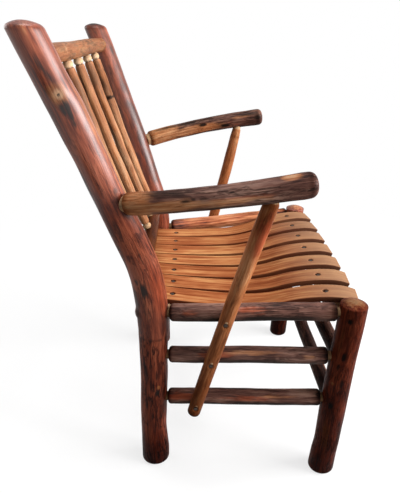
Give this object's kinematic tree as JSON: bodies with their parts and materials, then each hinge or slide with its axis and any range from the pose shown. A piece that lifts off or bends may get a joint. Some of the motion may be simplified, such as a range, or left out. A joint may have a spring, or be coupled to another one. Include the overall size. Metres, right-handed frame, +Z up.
{
  "type": "hickory armchair",
  "caption": "Rustic armchair of round hickory poles with bent rear posts, a spindle back, bowed arms on raking supports and a dished seat of nailed slats.",
  "frame": {"origin": "the floor point under the middle of the chair's length and width", "axes": "+X to the sitter's left, the front faces -Y, +Z up"},
  "size_m": [0.6544, 0.5897, 0.904],
  "materials": {
    "stained_post": "glossy varnish over red-brown stain",
    "bark_pole": "varnished bark",
    "peeled_pole": "satin varnish, bark partly peeled",
    "slat": "satin varnish",
    "nail": "dark oxidised steel"
  },
  "bodies": {
    "root": {"rear_post_right": "stained_post", "rear_post_left": "stained_post", "front_post_right": "stained_post", "front_post_left": "stained_post", "arm_right": "bark_pole", "arm_left": "bark_pole", "arm_support_right": "peeled_pole", "arm_support_left": "peeled_pole", "side_seat_rail_right": "bark_pole", "side_seat_rail_left": "bark_pole", "upper_side_stretcher_right": "bark_pole", "upper_side_stretcher_left": "bark_pole", "lower_side_stretcher_right": "bark_pole", "lower_side_stretcher_left": "bark_pole", "front_seat_bearer": "bark_pole", "rear_seat_bearer": "bark_pole", "upper_front_stretcher": "bark_pole", "lower_front_stretcher": "bark_pole", "rear_stretcher": "bark_pole", "crest_rail": "peeled_pole", "lower_back_rail": "peeled_pole", "back_spindle_1": "peeled_pole", "back_spindle_2": "peeled_pole", "back_spindle_3": "peeled_pole", "back_spindle_4": "peeled_pole", "seat_slat_1": "slat", "seat_slat_2": "slat", "seat_slat_3": "slat", "seat_slat_4": "slat", "seat_slat_5": "slat", "seat_slat_6": "slat", "seat_slat_7": "slat", "slat_nails": "nail", "support_nails": "nail"}
  },
  "joints": []
}
